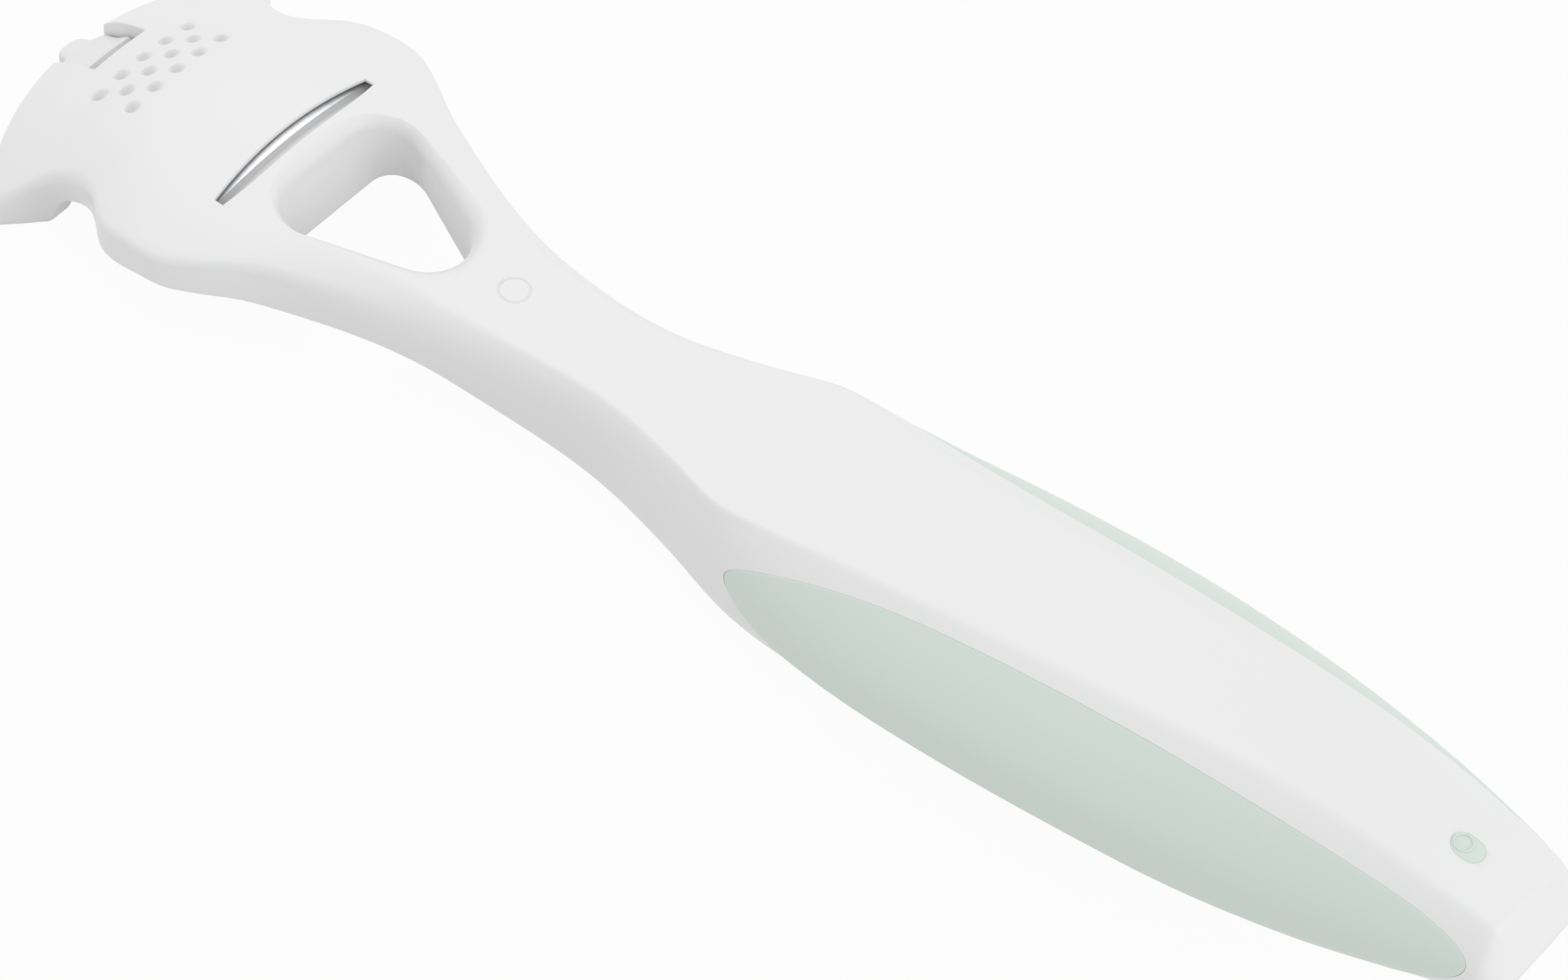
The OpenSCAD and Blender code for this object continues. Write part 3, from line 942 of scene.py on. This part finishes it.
@dataclass
class Grip:
    """The soft side grips and the plug that shows on the top face, with the small round mark of its gate."""

    mid_x: float = 119.7
    mid_z: float = 12.6
    length: float = 71.2
    up: float = 5.8
    down: float = 6.6
    slope: float = 5.3
    fuller: float = 0.08
    rise: float = 1.6
    pad_edge: float = 0.08
    plug_x: float = 150.0
    plug_r: float = 1.18
    plug_flat: float = 0.3
    mark_r: float = 0.8
    mark_line: float = 0.12

    def swell(self, u: float, v: float) -> float:
        """How far the pad stands proud at a place in its oval: little at its top, most under its middle."""
        return self.rise * max(0.0, 1 - u * u - v**4) * (0.5 - 0.5 * v) * (1 - 0.4 * u)

    def side_ring(self, side: int, out: float, grow: float, share: float, risen: bool) -> Ring:
        """One closed ring on the handle's side, shaped as the grip's oval.

        Args:
            side: -1 for the near side, 1 for the far side.
            out: Distance outwards from the handle's side.
            grow: Growth of the oval in its own plane.
            share: Share of the oval's size, 0 for its middle.
            risen: Whether the soft swell of the grip is added.

        Returns:
            The points of the ring.
        """
        c, s = cosine(self.slope), sine(self.slope)
        ring = []
        for a in steps(0, 360, 360 / 128):
            across, rise = cosine(a) * share, sine(a) * share
            u = (self.length / 2 + grow) * across
            v = ((self.up if rise > 0 else self.down) + grow) * rise * (1 + self.fuller * across)
            x, z = self.mid_x + u * c - v * s, self.mid_z + u * s + v * c
            swell = self.swell(across, rise) if risen else 0.0
            ring.append(point(x, side * (Section.at(x).side_y(z) + out + swell), z))
        return ring

    def plug_ring(self, grow: float, up: float, share: float = 1.0) -> Ring:
        """One closed ring of the plug's oval.

        Args:
            grow: Growth of the oval in its own plane.
            up: Height over the top face.
            share: Share of the oval's size, 0 for its middle.

        Returns:
            The points of the ring.
        """
        r = (self.plug_r + grow) * share
        ring = []
        for a in steps(0, 360, 360 / 48):
            x = self.plug_x + r * cosine(a) + self.plug_flat * share * max(-1.0, min(1.0, 3 * cosine(a)))
            ring.append(point(x, r * sine(a), TOP.at(x) + up))
        return ring

    def pad(self, bm: bmesh.types.BMesh, side: int) -> None:
        """Adds one side grip with a soft edge and a gentle swell.

        Args:
            bm: Mesh that the grip is added to.
            side: -1 for the near side, 1 for the far side.
        """
        edge = self.pad_edge
        sunk = [(-1.2, 0.0, f) for f in (0, 0.4, 0.8, 1)] + [(-0.7, 0.0, 1)]
        shown = [(-edge * (1 - sine(a)), -edge * (1 - cosine(a)), 1) for a in (0, 22, 45, 68, 90)]
        shown += [(0.0, -edge, f) for f in (0.985, 0.965, 0.94, 0.91, 0.87, 0.82, 0.76, 0.7)]
        shown += [(0.0, -edge, 0.09 * i) for i in range(7, -1, -1)]
        rings = [self.side_ring(side, out, grow, share, False) for out, grow, share in sunk]
        loft(bm, rings + [self.side_ring(side, out, grow, share, True) for out, grow, share in shown])

    def plug(self, bm: bmesh.types.BMesh) -> None:
        """Adds the plug with its mark.

        Args:
            bm: Mesh that the plug is added to.
        """
        levels = [(0.0, -0.8, 0), (0.0, -0.8, 1), (0.0, -0.03, 1),
                  (-0.01, -0.01, 1), (-0.03, 0.0, 1), (-0.03, 0.02, 0.6), (-0.03, 0.025, 0)]
        loft(bm, [self.plug_ring(grow, up, share) for grow, up, share in levels])
        x = self.plug_x - 0.55
        lean = (TOP.at(self.plug_x + 0.5) - TOP.at(self.plug_x - 1.5)) / 2
        add_ring(bm, point(x, 0.1, TOP.at(x) + 0.02), lean, self.mark_r, self.mark_line, 40)

    def build(self) -> bpy.types.Object:
        """Makes both pads and the plug as one soft moulding.

        Returns:
            The finished piece.
        """
        bm = bmesh.new()
        self.pad(bm, -1)
        self.pad(bm, 1)
        self.plug(bm)
        piece = piece_from(bm, "soft_grip")
        smooth(piece, 40)
        return piece

    def dress(self, piece: bpy.types.Object) -> None:
        """Gives the grip its rubber and its place in the frame."""
        settle_in(piece, SoftRubber("pale_green_rubber").make(), "grip")


@dataclass
class Blade:
    """The bent strip blade with a ground edge towards the handle."""

    start_x: float = 18.1
    width: float = 7.9
    thick: float = 0.2
    length: float = 25.9
    ground: float = 0.7
    gap: float = 0.06
    leave: float = 0.11
    arch_r: float = 43

    def top_z(self, x: float, y: float) -> float:
        """Height of the strip's upper face, which leaves the plate a little towards the ground edge."""
        leave = self.leave + y * y / 2 * (1 / self.arch_r - 1 / LIP_ARCH_R)
        return ceiling_z(max(x, 17.3), y) - self.gap - leave * ease(x, 18.5, 25)

    def build(self) -> bpy.types.Object:
        """Makes the strip as one section carried along the arch.

        Returns:
            The finished piece.
        """
        end, t = self.start_x + self.width, self.thick
        flat = end - self.ground
        section = [(self.start_x, 0.0)] + [(x, 0.0) for x in steps(self.start_x + 1, flat, 0.8)]
        section += [(flat, 0.0), (end, t * 0.45), (end, t * 0.55), (flat, t), (self.start_x, t)]
        rings = []
        for i in range(61):
            y = self.length * (i / 60 - 0.5)
            rings.append([point(x, y, self.top_z(x, y) - down) for x, down in section])
        bm = bmesh.new()
        loft(bm, rings)
        piece = piece_from(bm, "strip_blade")
        smooth(piece, 20)
        return piece

    def dress(self, piece: bpy.types.Object) -> None:
        """Gives the blade its steel and its place in the frame."""
        settle_in(piece, GroundSteel("ground_steel").make(), "blade")


@dataclass
class Holder:
    """The plate under the blade, whose front runs out through the notch as a tongue."""

    thick: float = 1.5
    gap: float = 0.25
    edge: float = 0.4
    tongue_half: float = 3.1
    tongue_end: float = 4.6
    tongue_root: float = 6.6
    nose_mid: float = 0.0
    nose_r: float = 1.65

    def top_mid(self, x: float) -> float:
        """Height of the plate's upper face in the middle plane, with the tongue's ridge and raised nose.

        Args:
            x: Place along the tool.

        Returns:
            The height there.
        """
        root = self.tongue_root
        if x > root:
            step = 0.42 * ease(x, 25.75, 26.1)
            below = 0.06 + 0.25 * ease(x, 16.5, 17.5) + 0.1 * ease(x, 18.5, 25) + step
            return ceiling_line(x)[0] - below - 0.09 * (1 - ease(x, root, 8))
        return SmoothLine((
            (-1.66, 3.15), (-1.5, 3.5), (-1.1, 3.9), (-0.3, 4.2), (0.5, 4.35), (2.2, 5.15), (3.4, 6.12),
            (3.7, 6.2), (4.35, 5.5), (4.7, 5.6), (5.2, 5.95), (root, ceiling_line(root)[0] - 0.15))).at(x)

    def half(self, x: float) -> float:
        """Half width of the plate or tongue.

        Args:
            x: Place along the tool.

        Returns:
            The half width there.
        """
        if x > self.tongue_end:
            return Section.at(x).half - SKIRT_T - self.gap
        if x > self.nose_mid:
            return mix(self.nose_r, self.tongue_half, ease(x, self.nose_mid, 0.6))
        return math.sqrt(max(0.04, self.nose_r**2 - (x - self.nose_mid) ** 2))

    def section(self, x: float) -> Ring:
        """The plate's cross-section with rounded long edges.

        Args:
            x: Place along the tool.

        Returns:
            The points of the section.
        """
        half, mid, t = self.half(x), self.top_mid(x), self.thick
        e = min(self.edge, half * 0.6)
        flat = half - e
        r = PLATE_ARCH_R + 11 * ease(x, 17.2, 17.7) - 2 * ease(x, 18.5, 25)
        upper = [(flat * i / 8, 0.0) for i in range(-8, 9)]
        right = [(flat + e * sine(a), e - e * cosine(a)) for a in (22, 45, 68, 90)]
        right += [(flat + e * cosine(a), t - e + e * sine(a)) for a in (0, 30, 60, 90)]
        lower = [(flat * i / 4, t) for i in (3, 2, 1, 0, -1, -2, -3)]
        left = [(-y, down) for y, down in reversed(right)]
        return [point(x, y, mid - down - 1.04 * (r - math.sqrt(r * r - y * y)))
                for y, down in upper + right + lower + left]

    def build(self) -> bpy.types.Object:
        """Makes the plate and its tongue.

        Returns:
            The finished piece.
        """
        tip, before = [-1.63 + 0.045 * i * i for i in range(6)], self.tongue_end - 0.01
        places = tip + runs((-0.5, 0.15), (before, 0)) + [self.tongue_end + 0.01]
        places += runs((4.8, 0.4), (16.4, 0.2), (18.5, 0.6), (25.7, 0.1), (26.2, 0)) + [26.7, 27.15]
        bm = bmesh.new()
        loft(bm, [self.section(x) for x in places])
        piece = piece_from(bm, "blade_plate")
        smooth(piece, 40)
        return piece

    def dress(self, piece: bpy.types.Object) -> None:
        """Gives the plate its plastic and its place in the frame."""
        finish = MouldedPlastic("white_plate", (0.885, 0.886, 0.89), (0.86, 0.862, 0.868), 0.4)
        settle_in(piece, finish.make(), "blade_holder")


def settle_in(piece: bpy.types.Object, material: bpy.types.Material, node: str) -> None:
    """Gives a piece its material, and puts it in the frame in place of a solid.

    Args:
        piece: Finished piece.
        material: Material of the whole piece.
        node: Solid that the piece takes the place of.
    """
    piece.data.materials.clear()
    piece.data.materials.append(material)
    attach(piece, "root")
    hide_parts(node)


@dataclass
class Studio:
    """White floor, soft lamps and the camera."""

    eye: tuple[float, float, float] = (258.5, -252.44, 380.72)
    right: tuple[float, float, float] = (0.7729, 0.6315, 0.0613)
    up: tuple[float, float, float] = (-0.5184, 0.573, 0.6348)
    lens: float = 132.05
    sky: float = 0.755

    def background(self, s: Shader) -> Socket:
        """Finds the rays that show the background directly, in gloss or through glass.

        Args:
            s: Tree that asks.

        Returns:
            1 for such a ray, otherwise 0.
        """
        seen = s.node("ShaderNodeLightPath", output="Is Camera Ray")
        gloss = Socket(s, seen.link.node.outputs["Is Glossy Ray"])
        through = Socket(s, seen.link.node.outputs["Is Transmission Ray"])
        return seen.at_least(gloss).at_least(through)

    def floor(self) -> None:
        """Adds a wide white floor at the level the tool lies on."""
        bm = bmesh.new()
        bmesh.ops.create_grid(bm, x_segments=8, y_segments=8, size=4.0)
        bmesh.ops.translate(bm, vec=(0, 0, -0.00002), verts=bm.verts)
        plane = piece_from(bm, "studio_floor")
        material = bpy.data.materials.new("studio_white")
        s = Shader(material)
        grain = s.noise(s.place(), 40, 2)
        tint = s.tint(grain, (0.72, 0.72, 0.72), (0.74, 0.74, 0.74))
        inputs = {"Base Color": tint, "Roughness": 0.8, "Specular IOR Level": 0.1}
        matt = s.node("ShaderNodeBsdfPrincipled", {}, inputs)
        white = s.node("ShaderNodeEmission", {}, {"Color": (1, 1, 1, 1), "Strength": 1.0})
        both = s.node("ShaderNodeMixShader", {}, {0: self.background(s) * 0.95, 1: matt, 2: white})
        s.node("ShaderNodeOutputMaterial", {}, {"Surface": both})
        plane.data.materials.append(material)
        plane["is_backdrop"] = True

    def air(self) -> None:
        """Sets even light from all round, which shows as white."""
        world = bpy.data.worlds.new("studio_air")
        bpy.context.scene.world = world
        s = Shader(world)
        level = self.sky + (1 - self.sky) * self.background(s)
        glow = s.node("ShaderNodeBackground", {}, {"Color": (1, 1, 1, 1), "Strength": level})
        s.node("ShaderNodeOutputWorld", {}, {"Surface": glow})

    def lamp(self, name: str, spot: tuple[float, float, float], size: float, power: float) -> None:
        """Adds a square soft lamp that looks at the middle of the tool.

        Args:
            name: Name of the lamp.
            spot: Place in metres in the row frame.
            size: Side of the square in metres.
            power: Power in watts.
        """
        light = bpy.data.lights.new(name, "AREA")
        light.size, light.energy = size, power
        made = bpy.data.objects.new(name, light)
        bpy.context.scene.collection.objects.link(made)
        made.location = spot
        made.rotation_mode = "QUATERNION"
        made.rotation_quaternion = (-Vector(spot)).to_track_quat("-Z", "Y")

    def camera(self) -> None:
        """Adds the camera at the photograph's angle and distance."""
        data = bpy.data.cameras.new("camera")
        data.sensor_width, data.lens = 36.0, self.lens
        data.clip_start, data.clip_end = 0.01, 20.0
        made = bpy.data.objects.new("camera", data)
        bpy.context.scene.collection.objects.link(made)
        x, y = Vector(self.right).normalized(), Vector(self.up).normalized()
        z = x.cross(y)
        turn = Matrix((x, y, z)).transposed().to_4x4()
        made.matrix_world = Matrix.Translation(point(*self.eye)) @ turn
        bpy.context.scene.camera = made

    def build(self) -> None:
        """Sets up the whole studio."""
        self.floor()
        self.air()
        self.lamp("key_lamp", (-0.4, 0.2, 0.5), 0.5, 0.75)
        self.lamp("end_lamp", (0.7, 0.05, 0.27), 0.5, 1.1)
        self.camera()
        bpy.context.scene.view_settings.view_transform = "Standard"


def corners() -> list[list[float]]:
    """Box of what shows now, as plain lists."""
    return [list(corner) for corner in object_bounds()]


def main() -> None:
    """Builds and dresses every piece, and sets the studio round them."""
    logging.basicConfig(level=logging.INFO, format="%(message)s")
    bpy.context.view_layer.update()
    for part in (Body(), Grip(), Blade(), Holder()):
        piece = part.build()
        part.dress(piece)
        LOG.info("%s: %s, %d faces", type(part).__name__, piece.name, len(piece.data.polygons))
    Studio().build()
    bpy.context.view_layer.update()


if __name__ == "__main__":
    main()
